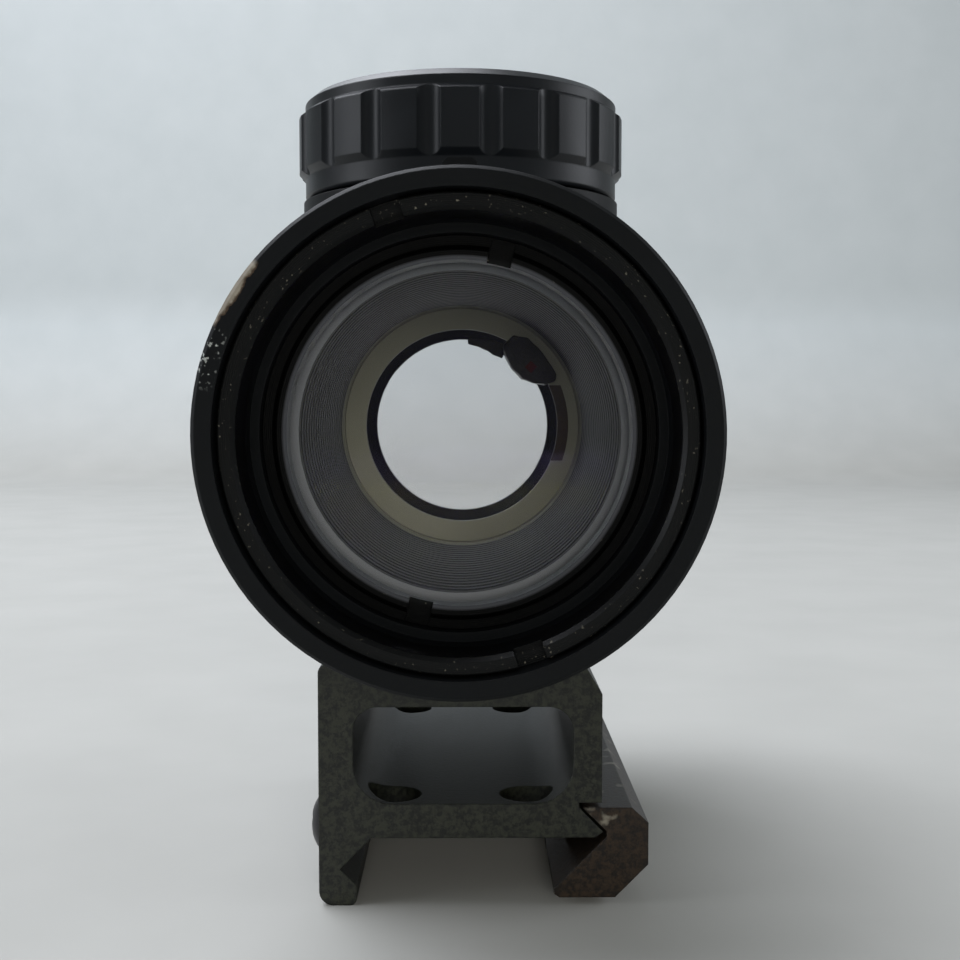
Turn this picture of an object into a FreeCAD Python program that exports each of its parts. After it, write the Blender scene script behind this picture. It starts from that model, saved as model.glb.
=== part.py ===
import FreeCAD, Part
import os

import Sketcher
from FreeCAD import Placement, Rotation, Vector

# Tube-bodied red dot finder on a see-through rail riser. The row frame has its origin on the rail
# seat under the optical axis, +X to the viewer's right in front of the objective, +Y from the
# objective to the eyepiece and +Z up. Depths are measured back from the front face of the bell,
# heights of the adjusters out from the optical axis.

SIZES = [
    ("axis_height", 35.5, "rail seat to optical axis"),
    ("bell_front", -33.75, "front face of the bell along Y"),
    ("tube_length", 66.0, "bell face to eyepiece face"),
    ("bell_radius", 20.3, "objective bell outside"),
    ("bell_length", 10.5, "straight part of the bell"),
    ("tube_radius", 17.3, "main tube outside"),
    ("ring_bore", 18.7, "counterbore for the lock ring"),
    ("cell_bore", 16.3, "threaded bore around the objective cell"),
    ("pivot_bore", 16.0, "bore around the pivot ring"),
    ("tube_bore", 15.6, "bore around the inner tube"),
    ("eye_bore", 13.6, "threaded bore around the ocular"),
    ("lens_radius", 15.9, "objective lens edge"),
    ("inner_radius", 14.9, "inner tube outside"),
    ("baffle_radius", 13.95, "inner tube bore"),
    ("inner_front", 14.5, "depth of the inner tube's front land"),
    ("inner_back", 59.2, "depth of the inner tube's back face"),
    ("pivot_depth", 16.8, "depth of the inner tube's pivot"),
    ("fit_gap", 0.03, "radial gap of a threaded or bonded fit"),
    ("run_gap", 0.05, "radial gap of a running fit"),
    ("turret_along", -3.25, "dial axis along Y"),
    ("turret_face", 57.2, "top of the turret collar"),
    ("post_radius", 12.0, "battery post outside"),
    ("post_top", 65.5, "top of the battery post"),
    ("cavity_radius", 10.3, "battery cavity"),
    ("cavity_floor", 56.0, "floor of the battery cavity"),
    ("seal_height", 60.65, "middle of the dial's rubber ring"),
    ("clip_height", 64.0, "underside of the dial's retaining ring"),
    ("cell_floor", 58.4, "underside of the coin cell"),
    ("cap_floor", 61.75, "underside of the battery cap's spigot"),
    ("cap_top", 66.75, "top of the battery cap"),
    ("dial_base", 57.5, "underside of the dial"),
    ("dial_top", 67.0, "top rim of the dial"),
    ("dial_radius", 15.0, "plain band of the dial"),
    ("land_radius", 15.6, "outside of the grip lands"),
    ("flute_radius", 1.25, "cutter radius of the flutes between the lands"),
    ("land_count", 18, "grip lands round the dial"),
    ("click_count", 12, "positions round the dial"),
    ("click_radius", 13.3, "detent track"),
    ("adjuster_along", 21.0, "both adjuster axes along Y"),
    ("boss_radius", 6.6, "adjuster bosses and their caps"),
    ("boss_reach", 20.1, "end of each boss from the optical axis"),
    ("riser_length", 39.5, "riser and jaw along Y"),
    ("riser_half", 12.4, "half the riser's width"),
    ("riser_top", 15.4, "top of the riser"),
    ("deck", 3.0, "thickness of the rail deck"),
    ("foot", 6.0, "reach of the hook below the seat"),
    ("jaw_foot", 5.35, "reach of the jaw below the seat"),
    ("rail_half", 10.6, "half the width of the rail at its edge"),
    ("rail_bevel", 2.77, "rail top to the widest line of the rail"),
    ("screw_across", 5.9, "mounting screws each side of the middle"),
    ("screw_along", 16.7, "mounting screws from the middle along Y"),
    ("bolt_along", 10.0, "cross bolts from the middle along Y"),
    ("bolt_drop", 1.55, "cross bolt axis below the seat"),
    ("bolt_radius", 1.45, "cross bolt shank, passing through a rail slot"),
]

doc = FreeCAD.newDocument("red_dot_finder")
dims = doc.addObject("Spreadsheet::Sheet", "dims")


class Size:
    """A number worked out from the sheet, kept with the expression that gives it."""

    def __init__(self, value, text):
        self.value = value
        self.text = text

    def __add__(self, other):
        other = as_size(other)
        return Size(self.value + other.value, "(%s + %s)" % (self.text, other.text))

    def __sub__(self, other):
        other = as_size(other)
        return Size(self.value - other.value, "(%s - %s)" % (self.text, other.text))

    def __mul__(self, other):
        other = as_size(other)
        return Size(self.value * other.value, "(%s * %s)" % (self.text, other.text))

    def __truediv__(self, other):
        other = as_size(other)
        return Size(self.value / other.value, "(%s / %s)" % (self.text, other.text))

    def __neg__(self):
        return Size(-self.value, "(0 - %s)" % self.text)

    def __rsub__(self, other):
        return as_size(other) - self

    __radd__ = __add__
    __rmul__ = __mul__


def as_size(value):
    return value if isinstance(value, Size) else Size(float(value), "(%.6g)" % value)


def fill_sheet():
    """Write each driving dimension into the sheet and return them by name."""
    named = {}
    for row, (name, value, meaning) in enumerate(SIZES, start=1):
        dims.set("A%d" % row, name)
        dims.set("B%d" % row, str(value))
        dims.set("C%d" % row, meaning)
        dims.setAlias("B%d" % row, name)
        named[name] = Size(float(value), "dims." + name)
    doc.recompute()
    return named


d = fill_sheet()

# Turned pieces are drawn along their own X axis, then laid along one of these directions.
ALONG_X = Rotation()
ALONG_Y = Rotation(Vector(0, 0, 1), 90)
ALONG_Z = Rotation(Vector(0, 1, 0), -90)


def bind(item, **sizes):
    """Tie properties of an object to sizes from the sheet."""
    for name, size in sizes.items():
        item.setExpression(name, as_size(size).text)


def put(item, x=0, y=0, z=0, turn=ALONG_X):
    """Place an object, with its position tied to the sheet."""
    spot = [as_size(v) for v in (x, y, z)]
    item.Placement = Placement(Vector(*[v.value for v in spot]), turn)
    for letter, size in zip("xyz", spot):
        item.setExpression("Placement.Base." + letter, size.text)
    return item


def plane_of(body, role):
    return [f for f in body.Origin.OriginFeatures if f.Role == role][0]


def sketch_on(body, role, name, offset=0, angle=0):
    """Start a sketch on one of the body's own planes, moved along its normal and turned in it."""
    sketch = body.newObject("Sketcher::SketchObject", name)
    sketch.AttachmentSupport = (plane_of(body, role), [""])
    sketch.MapMode = "FlatFace"
    away = as_size(offset)
    sketch.AttachmentOffset = Placement(Vector(0, 0, away.value), Rotation(Vector(0, 0, 1), angle))
    sketch.setExpression("AttachmentOffset.Base.z", away.text)
    return sketch


def draw_outline(sketch, points):
    """Draw a closed outline whose corners are all tied to the sheet."""
    corners = [(as_size(x), as_size(y)) for x, y in points]
    count = len(corners)
    for i in range(count):
        ends = [Vector(corners[k][0].value, corners[k][1].value, 0) for k in (i, (i + 1) % count)]
        sketch.addGeometry(Part.LineSegment(*ends))
    for i in range(count):
        sketch.addConstraint(Sketcher.Constraint("Coincident", i, 2, (i + 1) % count, 1))
    for i, (x, y) in enumerate(corners):
        for kind, size in (("DistanceX", x), ("DistanceY", y)):
            mark = sketch.addConstraint(Sketcher.Constraint(kind, -1, 1, i, 1, size.value))
            sketch.setExpression("Constraints[%d]" % mark, size.text)


def draw_circles(sketch, centres, radius):
    """Draw equal circles whose centres and radius are tied to the sheet."""
    radius = as_size(radius)
    for i, centre in enumerate(centres):
        x, y = [as_size(v) for v in centre]
        sketch.addGeometry(Part.Circle(Vector(x.value, y.value, 0), Vector(0, 0, 1), radius.value))
        for kind, size in (("DistanceX", x), ("DistanceY", y)):
            mark = sketch.addConstraint(Sketcher.Constraint(kind, -1, 1, i, 3, size.value))
            sketch.setExpression("Constraints[%d]" % mark, size.text)
        mark = sketch.addConstraint(Sketcher.Constraint("Radius", i, radius.value))
        sketch.setExpression("Constraints[%d]" % mark, radius.text)


def turned(name, outline, x=0, y=0, z=0, turn=ALONG_X):
    """A lathe-turned piece from an outline of (along, radius) corners."""
    body = doc.addObject("PartDesign::Body", name)
    sketch = sketch_on(body, "XY_Plane", name + "_outline")
    draw_outline(sketch, outline)
    feature = body.newObject("PartDesign::Revolution", name + "_turning")
    feature.Profile = sketch
    feature.ReferenceAxis = (sketch, ["H_Axis"])
    feature.Angle = 360
    put(body, x, y, z, turn)
    doc.recompute()
    return body


def extruded(name, outline, length, x=0, y=0, z=0, turn=ALONG_X):
    """A piece of one section in the XZ plane, padded equally both ways along Y."""
    body = doc.addObject("PartDesign::Body", name)
    sketch = sketch_on(body, "XZ_Plane", name + "_section")
    draw_outline(sketch, outline)
    feature = body.newObject("PartDesign::Pad", name + "_pad")
    feature.Profile = sketch
    bind(feature, Length=length)
    feature.Midplane = True
    put(body, x, y, z, turn)
    doc.recompute()
    return body


def pocket(body, sketch, depth=None, forward=True, both=False):
    """Cut a sketch out of a body, and insist that it removed something."""
    before = body.Shape.Volume
    feature = body.newObject("PartDesign::Pocket", sketch.Name + "_cut")
    feature.Profile = sketch
    if depth is None:
        feature.Type = "ThroughAll"
    else:
        bind(feature, Length=depth)
    feature.Midplane = both
    feature.Reversed = forward and not both
    doc.recompute()
    if body.Shape.Volume > before - 1e-4:
        raise RuntimeError("the cut %s removed nothing" % feature.Name)
    return feature


def ring_of(body, feature, count):
    """Repeat a feature evenly round a turned body's own axis."""
    before = body.Shape.Volume
    pattern = body.newObject("PartDesign::PolarPattern", feature.Name + "_ring")
    pattern.Originals = [feature]
    pattern.Axis = (plane_of(body, "X_Axis"), [""])
    pattern.Angle = 360
    bind(pattern, Occurrences=count)
    body.Tip = pattern
    doc.recompute()
    if abs(body.Shape.Volume - before) < 1e-4:
        raise RuntimeError("the pattern %s changed nothing" % pattern.Name)
    return pattern


def cross_slot(body, start, depth, reach, width, angle):
    """A straight slot across the end of a turned body, through its axis."""
    sketch = sketch_on(body, "YZ_Plane", body.Name + "_slot", start, angle)
    half = as_size(width) / 2
    draw_outline(sketch, [(-as_size(reach), -half), (reach, -half), (reach, half), (-as_size(reach), half)])
    return pocket(body, sketch, depth)


def edges_along(shape, axis, spots):
    """Names of the straight edges parallel to an axis that pass through the given (a, b) spots."""
    others = [i for i in range(3) if i != axis]
    names = []
    for number, edge in enumerate(shape.Edges, start=1):
        bounds = edge.BoundBox
        spans = (bounds.XLength, bounds.YLength, bounds.ZLength)
        middle = (bounds.Center.x, bounds.Center.y, bounds.Center.z)
        if spans[axis] < 1 or max(spans[i] for i in others) > 1e-4:
            continue
        for spot in spots:
            gaps = [abs(middle[i] - as_size(spot[k]).value) for k, i in enumerate(others)]
            if max(gaps) < 1e-3:
                names.append("Edge%d" % number)
    if len(names) < len(spots):
        raise RuntimeError("%d edges found of %d" % (len(names), len(spots)))
    return names


def rounded(body, spots, radius, axis=1, kind="Fillet"):
    """Round or chamfer the long edges of a body at the given spots."""
    before = body.Tip
    feature = body.newObject("PartDesign::" + kind, "%s_%s_%d" % (body.Name, kind.lower(), len(body.Group)))
    feature.Base = (before, edges_along(before.Shape, axis, spots))
    bind(feature, **{"Radius" if kind == "Fillet" else "Size": radius})
    doc.recompute()
    return feature


def cylinder(name, radius, height, x=0, y=0, z=0, turn=Rotation()):
    item = doc.addObject("Part::Cylinder", name)
    bind(item, Radius=radius, Height=height)
    return put(item, x, y, z, turn)


def box(name, length, width, height, x=0, y=0, z=0):
    """A box centred on x and y that stands on z."""
    item = doc.addObject("Part::Box", name)
    bind(item, Length=length, Width=width, Height=height)
    return put(item, as_size(x) - as_size(length) / 2, as_size(y) - as_size(width) / 2, z)


def joined(name, pieces):
    item = doc.addObject("Part::MultiFuse", name)
    item.Shapes = pieces
    doc.recompute()
    return item


def cut(name, base, tool):
    item = doc.addObject("Part::Cut", name)
    item.Base = base
    item.Tool = tool
    doc.recompute()
    if item.Shape.Volume > base.Shape.Volume - 1e-4:
        raise RuntimeError("the cut %s removed nothing" % name)
    return item


def shared(name, pieces):
    item = doc.addObject("Part::MultiCommon", name)
    item.Shapes = pieces
    doc.recompute()
    return item


# Directions of a part primitive that stands along its own Z.
TO_Y = Rotation(Vector(1, 0, 0), -90)
TO_X = Rotation(Vector(0, 1, 0), 90)
UP = Rotation()

optical = {"y": d["bell_front"], "z": d["axis_height"], "turn": ALONG_Y}
upright = {"y": d["turret_along"], "turn": ALONG_Z}


# The four mounting screws, as signs along and across.
CORNERS = [(along, across) for along in (-1, 1) for across in (-1, 1)]


# ---------------------------------------------------------------- tube

def housing():
    """Machined aluminium tube with bell, turret, adjuster bosses and base pad in one piece."""
    tube = turned("tube_form", [
        (0, 0), (0, d["bell_radius"] - 0.3), (0.3, d["bell_radius"]), (d["bell_length"], d["bell_radius"]),
        (d["bell_length"] + 7, d["tube_radius"]), (d["tube_length"] - 7.5, d["tube_radius"]),
        (d["tube_length"] - 6.7, d["tube_radius"] + 0.7), (d["tube_length"] - 0.8, d["tube_radius"] + 0.7),
        (d["tube_length"], d["tube_radius"]), (d["tube_length"], 0)], **optical)
    seal, clip = d["seal_height"], d["clip_height"]
    turret = turned("turret_form", [
        (d["turret_face"] - 13, 0), (d["turret_face"] - 13, 13.2), (d["turret_face"] - 6.5, 13.9),
        (d["turret_face"] - 1.4, d["dial_radius"] + 0.2), (d["turret_face"], d["dial_radius"] + 0.2),
        (d["turret_face"], d["post_radius"]), (seal - 0.65, d["post_radius"]),
        (seal - 0.65, d["post_radius"] - 1.05), (seal + 0.65, d["post_radius"] - 1.05),
        (seal + 0.65, d["post_radius"]), (clip - 0.05, d["post_radius"]),
        (clip - 0.05, d["post_radius"] - 0.7), (clip + 0.85, d["post_radius"] - 0.7),
        (clip + 0.85, d["post_radius"]), (d["post_top"], d["post_radius"]), (d["post_top"], 0)], **upright)
    pad = box("pad_form", 22, d["riser_length"] - 0.7, 9, 0, 0, d["riser_top"])
    index = extruded("index_form", [(-1.8, -6), (1.8, -6), (1.45, 0.4), (1, 0.8), (-1, 0.8), (-1.45, 0.4)],
                     4.5, 0, -20.5, d["turret_face"] + 0.4)
    lift_boss = adjuster_boss("lift_boss", ALONG_Z)
    side_boss = adjuster_boss("side_boss", ALONG_X)
    solid = joined("housing_solid", [tube, turret, pad, index, lift_boss, side_boss])
    through = turned("through_bore", [
        (-1, 0), (-1, d["ring_bore"]), (6, d["ring_bore"]), (6, 17.1), (8, 17.1), (8, d["cell_bore"]),
        (14.4, d["cell_bore"]), (14.4, d["pivot_bore"]), (19, d["pivot_bore"]), (19, d["tube_bore"]),
        (47.5, d["tube_bore"]), (47.5, 16.4), (57, 16.4), (57, d["tube_bore"]), (60.2, d["tube_bore"]),
        (60.2, 12), (61.4, 12), (61.4, d["eye_bore"]), (d["tube_length"] + 1, d["eye_bore"]),
        (d["tube_length"] + 1, 0)], **optical)
    cavity = cylinder("battery_cavity", d["cavity_radius"], 12, 0, d["turret_along"], d["cavity_floor"])
    lead_way = cylinder("lead_way", 0.9, 8, 4, d["turret_along"], 49)
    click_well = cylinder("click_well", 0.85, 4.5, 0, d["turret_along"] + d["click_radius"],
                          d["turret_face"] - 4)
    pivots = cylinder("pivot_wells", 0.65, 34.4, -17.2, d["bell_front"] + d["pivot_depth"],
                      d["axis_height"], TO_X)
    taps = [cylinder("tap_%d" % i, 1.5, 3.6, across * d["screw_across"], along * d["screw_along"],
                     d["riser_top"]) for i, (along, across) in enumerate(CORNERS)]
    wells = [adjuster_well("lift_well", ALONG_Z), adjuster_well("side_well", ALONG_X)]
    tool = joined("housing_bores", [through, cavity, lead_way, click_well, pivots] + taps + wells)
    return cut("housing", solid, tool)


def adjuster_place(turn, offset=0):
    """Axis of an adjuster: up from the optical axis, or to the right of it."""
    height = as_size(offset) + d["axis_height"] if turn is ALONG_Z else d["axis_height"]
    return {"x": offset if turn is ALONG_X else 0, "y": d["adjuster_along"], "z": height, "turn": turn}


def adjuster_boss(name, turn):
    thread = d["boss_radius"] - 0.8
    return turned(name, [(14, 0), (14, d["boss_radius"]), (d["boss_reach"] - 1.5, d["boss_radius"]),
                         (d["boss_reach"] - 1.5, thread), (d["boss_reach"], thread), (d["boss_reach"], 0)],
                  **adjuster_place(turn))


def adjuster_well(name, turn):
    """Stepped hole: plunger bore from the tube, then the pocket of the adjuster's head."""
    return turned(name, [(12, 0), (12, 2.05), (17.9, 2.05), (17.9, 4.6), (d["boss_reach"] + 1, 4.6),
                         (d["boss_reach"] + 1, 0)], **adjuster_place(turn))


def front_lock_ring():
    """Threaded ring in the mouth of the bell, with two spanner slots."""
    outer = d["ring_bore"] - d["fit_gap"]
    ring = turned("front_lock_ring", [
        (1, 17.45), (1, outer - 0.3), (1.9, outer - 0.3), (2.1, outer), (6, outer), (6, 17.1), (1.35, 17.1)],
        **optical)
    cross_slot(ring, 1, 1.3, 20, 2.3, 72)
    return ring


def lens_retainer():
    """Threaded ring that clamps the objective cell, with two spanner slots."""
    outer = d["cell_bore"] - d["fit_gap"]
    ring = turned("lens_retainer", [
        (8.5, 14.18), (8.5, 15), (8.9, 15.4), (9.4, 15.4), (9.4, outer), (10.7, outer), (10.7, 14.18)],
        **optical)
    cross_slot(ring, 8.5, 1.1, 20, 2, 103)
    return ring


def lens_seal():
    """Flat rubber ring between the retainer and the objective."""
    return turned("lens_seal", [(10.7, 14.4), (10.7, 16.2), (11.1, 16.2), (11.1, 14.4)], **optical)


def objective_lens_front():
    """Crown element, weakly curved on both faces, ground to a round edge."""
    edge = cylinder("crown_edge", d["lens_radius"], 3, 0, d["bell_front"] + 9.9, d["axis_height"], TO_Y)
    front = doc.addObject("Part::Sphere", "crown_front")
    bind(front, Radius=120)
    put(front, 0, d["bell_front"] + 130.25, d["axis_height"])
    back = doc.addObject("Part::Sphere", "crown_back")
    bind(back, Radius=200)
    put(back, 0, d["bell_front"] - 187.15, d["axis_height"])
    return shared("objective_lens_front", [edge, front, back])


def objective_lens_rear():
    """Flint element cemented behind the crown, flat at the back."""
    edge = cylinder("flint_edge", d["lens_radius"], 1.5, 0, d["bell_front"] + 12.2, d["axis_height"], TO_Y)
    front = doc.addObject("Part::Sphere", "flint_front")
    bind(front, Radius=200)
    put(front, 0, d["bell_front"] - 187.15, d["axis_height"])
    return cut("objective_lens_rear", edge, front)


def lens_spacer():
    """Ring that seats the objective on the housing's shoulder."""
    outer = d["cell_bore"] - d["fit_gap"]
    return turned("lens_spacer", [(13.7, 15.1), (13.7, outer), (14.4, outer), (14.4, 15.1)], **optical)


def ocular_lens():
    """Plano-convex window at the eye end, curved to the front."""
    edge = cylinder("ocular_edge", d["eye_bore"] - 0.1, 2, 0, d["bell_front"] + 61.4, d["axis_height"], TO_Y)
    front = doc.addObject("Part::Sphere", "ocular_front")
    bind(front, Radius=160)
    put(front, 0, d["bell_front"] + 221.4, d["axis_height"])
    return shared("ocular_lens", [edge, front])


def ocular_seal():
    """Flat rubber ring behind the ocular window."""
    return turned("ocular_seal", [(63.4, 12), (63.4, 13.5), (63.8, 13.5), (63.8, 12)], **optical)


def ocular_retainer():
    """Threaded ring at the eye end, with two spanner slots."""
    outer = d["eye_bore"] - d["fit_gap"]
    ring = turned("ocular_retainer", [
        (63.8, 10.6), (63.8, outer), (65.4, outer), (65.4, 11.2), (65, 10.6)], **optical)
    sketch = sketch_on(ring, "YZ_Plane", "ocular_retainer_slot", 64.4, 35)
    draw_outline(sketch, [(-20, -0.9), (20, -0.9), (20, 0.9), (-20, 0.9)])
    pocket(ring, sketch, 2)
    return ring


# ---------------------------------------------------------------- inner tube and emitter

def pivot_ring():
    """Gimbal ring: its stubs turn in the housing, the inner tube's stubs turn in it."""
    ring = turned("pivot_ring_form", [
        (-1.8, 15.05), (-1.8, 15.9), (1.8, 15.9), (1.8, 15.05)],
        0, d["bell_front"] + d["pivot_depth"], d["axis_height"], ALONG_Y)
    stubs = [cylinder("ring_stub_%d" % i, 0.6, 1.5, side * 15.45 - (0 if side > 0 else 1.5),
                      d["bell_front"] + d["pivot_depth"], d["axis_height"], TO_X)
             for i, side in enumerate((-1, 1))]
    solid = joined("pivot_ring_solid", [ring] + stubs)
    holes = cylinder("pivot_ring_holes", 0.65, 34, 0, d["bell_front"] + d["pivot_depth"],
                     d["axis_height"] - 17, UP)
    return cut("pivot_ring", solid, holes)


def inner_tube():
    """Baffle tube with a grooved bore, an end wall that holds the emitter, and two pivot stubs."""
    front, back = d["inner_front"], d["inner_back"]
    tube = turned("baffle_form", [
        (front, d["baffle_radius"]), (front, d["inner_radius"]), (back, d["inner_radius"]),
        (back, 11.5), (back - 1, 11.5), (back - 1, d["baffle_radius"])], **optical)
    sketch = sketch_on(tube, "XY_Plane", "baffle_groove")
    start = front + 1.2
    draw_outline(sketch, [(start, d["baffle_radius"] - 0.1), (start + 1.1, d["baffle_radius"] - 0.1),
                          (start + 0.95, d["baffle_radius"] + 0.35)])
    before = tube.Shape.Volume
    groove = tube.newObject("PartDesign::Groove", "baffle_groove_cut")
    groove.Profile = sketch
    groove.ReferenceAxis = (sketch, ["H_Axis"])
    groove.Angle = 360
    doc.recompute()
    rows = tube.newObject("PartDesign::LinearPattern", "baffle_groove_rows")
    rows.Originals = [groove]
    rows.Direction = (plane_of(tube, "X_Axis"), [""])
    rows.Length = 39.9
    rows.Occurrences = 22
    tube.Tip = rows
    doc.recompute()
    if tube.Shape.Volume > before - 20:
        raise RuntimeError("the baffle grooves removed nothing")
    stubs = [cylinder("tube_stub_%d" % i, 0.6, 1.3, 0, d["bell_front"] + d["pivot_depth"],
                      d["axis_height"] + side * 14.4 - (0 if side > 0 else 1.3), UP)
             for i, side in enumerate((-1, 1))]
    return joined("inner_tube", [tube] + stubs)


def emitter_block():
    """Small faceted holder bonded to the end wall at the upper right, reaching into the aperture."""
    return put_emitter(doc.addObject("PartDesign::Body", "emitter_block"), [
        (-4.6, 12.2), (-3.6, 13.2), (0.2, 13.6), (3.8, 13.2), (4.9, 12.1), (4.4, 10.7),
        (2.2, 9.9), (-1.6, 9.5), (-3.9, 10.3)], 4.1, 54.1)


EMITTER_ANGLE = 43


def put_emitter(body, outline, length, depth):
    """Pad an outline of (along the rim, out from the axis) corners at the emitter's angle."""
    sketch = sketch_on(body, "YZ_Plane", body.Name + "_section", 0, EMITTER_ANGLE)
    draw_outline(sketch, outline)
    feature = body.newObject("PartDesign::Pad", body.Name + "_pad")
    feature.Profile = sketch
    bind(feature, Length=length)
    put(body, 0, d["bell_front"] + depth, d["axis_height"], ALONG_Y)
    doc.recompute()
    return body


def led_die():
    """Light source on the front of the holder, at its inner edge."""
    return put_emitter(doc.addObject("PartDesign::Body", "led_die"), [
        (-1.7, 10), (-0.7, 10), (-0.7, 11), (-1.7, 11)], 0.5, 53.6)


def emitter_lead():
    """Flexible printed lead from the holder down along the rim of the end wall."""
    reach = turned("lead_band", [(57.6, 11.4), (57.6, 12.7), (58.2, 12.7), (58.2, 11.4)], **optical)
    window = box("lead_window", 10, 8, 9, 11, d["bell_front"] + 57.9, d["axis_height"] - 4.2)
    return shared("emitter_lead", [reach, window])


def return_spring():
    """Leaf spring in its relief at the lower left, opposite both adjusters."""
    strip = turned("spring_band", [(49, 15.9), (49, 16.2), (55.5, 16.2), (55.5, 15.9)], **optical)
    window = box("spring_window", 16, 12, 16, -13, d["bell_front"] + 52, d["axis_height"] - 21)
    return shared("return_spring", [strip, window])


# ---------------------------------------------------------------- dial and battery

def brightness_dial():
    """Aluminium dial with eighteen grip lands, click dimples underneath and a bevelled rim."""
    base, top, band, land = d["dial_base"], d["dial_top"], d["dial_radius"], d["land_radius"]
    shelf = d["clip_height"] - 0.15
    dial = turned("brightness_dial", [
        (base, d["post_radius"] + 0.1), (base, band - 0.25), (base + 0.25, band), (base + 1.9, band),
        (base + 2.5, land), (base + 7.6, land), (base + 8, band), (top - 0.65, band), (top, band - 0.8),
        (top, 13.6), (shelf, 13.6), (shelf, d["post_radius"] + 0.1)], **upright)
    flutes = sketch_on(dial, "YZ_Plane", "dial_flute", base + 1.9, 180 + 180 / d["land_count"].value)
    draw_circles(flutes, [(band + 0.02 + d["flute_radius"], 0)], d["flute_radius"])
    ring_of(dial, pocket(dial, flutes, 6.15), d["land_count"])
    dimple = sketch_on(dial, "YZ_Plane", "click_dimple", base)
    draw_circles(dimple, [(d["click_radius"], 0)], 0.6)
    ring_of(dial, pocket(dial, dimple, 0.35), d["click_count"])
    return dial


def dial_seal():
    """Rubber ring in the groove of the battery post, under the dial's bore."""
    ring = doc.addObject("Part::Torus", "dial_seal")
    bind(ring, Radius1=d["post_radius"] - 0.47, Radius2=0.52)
    return put(ring, 0, d["turret_along"], d["seal_height"])


def dial_retaining_ring():
    """Spring-steel ring in the upper groove of the post, open at the back, that holds the dial down."""
    low, high = d["clip_height"], d["clip_height"] + 0.8
    ring = turned("retaining_form", [(low, 11.33), (low, 13.3), (high, 13.3), (high, 11.33)], **upright)
    gap = box("retaining_gap", 5, 6, 3, 0, d["turret_along"] + 12.5, low - 1)
    return cut("dial_retaining_ring", ring, gap)


def detent_ball():
    """Steel ball just under the dial's click dimples."""
    ball = doc.addObject("Part::Sphere", "detent_ball")
    bind(ball, Radius=0.8)
    return put(ball, 0, d["turret_along"] + d["click_radius"], d["dial_base"] - 0.95)


def detent_spring():
    """Coil spring that lifts the ball, as a sleeve of its outer size."""
    low, high = d["turret_face"] - 4, d["turret_face"] - 1.4
    return turned("detent_spring", [(low, 0.4), (low, 0.75), (high, 0.75), (high, 0.4)],
                  0, d["turret_along"] + d["click_radius"], 0, ALONG_Z)


def circuit_board():
    """Round driver board on the floor of the battery cavity."""
    return turned("circuit_board", [
        (d["cavity_floor"], 0), (d["cavity_floor"], 10.2), (d["cavity_floor"] + 0.9, 10.2),
        (d["cavity_floor"] + 0.9, 0)], **upright)


def battery_contact():
    """Conical contact spring on the board, as a sleeve of its outer size."""
    outer = doc.addObject("Part::Cone", "contact_outer")
    bind(outer, Radius1=4, Radius2=2.4, Height=1.5)
    put(outer, 0, d["turret_along"], d["cavity_floor"] + 0.9)
    inner = doc.addObject("Part::Cone", "contact_inner")
    bind(inner, Radius1=3.5, Radius2=1.9, Height=1.5)
    put(inner, 0, d["turret_along"], d["cavity_floor"] + 0.9)
    return cut("battery_contact", outer, inner)


def battery_cell():
    """Coin cell, twenty millimetres across, with its negative face down."""
    low, high = d["cell_floor"], d["cell_floor"] + 3.2
    return turned("battery_cell", [
        (low, 0), (low, 8.6), (low + 0.3, 8.9), (low + 0.5, 8.9), (low + 0.5, 9.7), (low + 0.8, 10),
        (high - 0.3, 10), (high, 9.7), (high, 0)], **upright)


def battery_cap():
    """Screw cap inside the dial's rim, with a coin slot and a sealing groove on its spigot."""
    low, top, spigot = d["cap_floor"], d["cap_top"], d["cavity_radius"] - 0.06
    cap = turned("battery_cap", [
        (low, 0), (low, spigot - 0.34), (low + 0.35, spigot), (low + 1.35, spigot), (low + 1.35, 9.3),
        (low + 2.35, 9.3), (low + 2.35, spigot), (d["post_top"] + 0.15, spigot),
        (d["post_top"] + 0.15, 13.2), (top - 0.4, 13.2), (top, 12.8), (top, 0)], **upright)
    sketch = sketch_on(cap, "YZ_Plane", "coin_slot", top, 25)
    draw_outline(sketch, [(-7.5, -0.9), (7.5, -0.9), (7.5, 0.9), (-7.5, 0.9)])
    pocket(cap, sketch, 1.4, forward=False)
    return cap


def cap_seal():
    """Rubber ring in the groove of the battery cap's spigot."""
    ring = doc.addObject("Part::Torus", "cap_seal")
    bind(ring, Radius1=9.77, Radius2=0.45)
    return put(ring, 0, d["turret_along"], d["cap_floor"] + 1.85)


# ---------------------------------------------------------------- adjusters

def adjuster(name, turn):
    """Slotted adjusting screw: its head turns in the boss, its stem drives the plunger."""
    screw = turned(name, [
        (16.3, 0), (16.3, 1.2), (18.1, 1.2), (18.1, 4.5), (18.6, 4.5), (18.6, 3.6), (19.4, 3.6),
        (19.4, 4.5), (19.9, 4.5), (19.9, 0)], **adjuster_place(turn))
    sketch = sketch_on(screw, "YZ_Plane", name + "_slot", 19.9, 40)
    draw_outline(sketch, [(-6, -0.45), (6, -0.45), (6, 0.45), (-6, 0.45)])
    pocket(screw, sketch, 0.9, forward=False)
    return screw


def adjuster_seal(name, turn):
    """Rubber ring in the groove of the adjusting screw's head."""
    return turned(name, [(18.65, 3.65), (18.65, 4.4), (18.8, 4.55), (19.2, 4.55), (19.35, 4.4),
                         (19.35, 3.65)], **adjuster_place(turn))


def plunger(name, turn):
    """Keyed plunger that the screw drives against the inner tube."""
    return turned(name, [(15.1, 0), (15.1, 1.5), (15.5, 2), (17.2, 2), (17.2, 1.25), (15.7, 1.25),
                         (15.7, 0)], **adjuster_place(turn))


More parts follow.
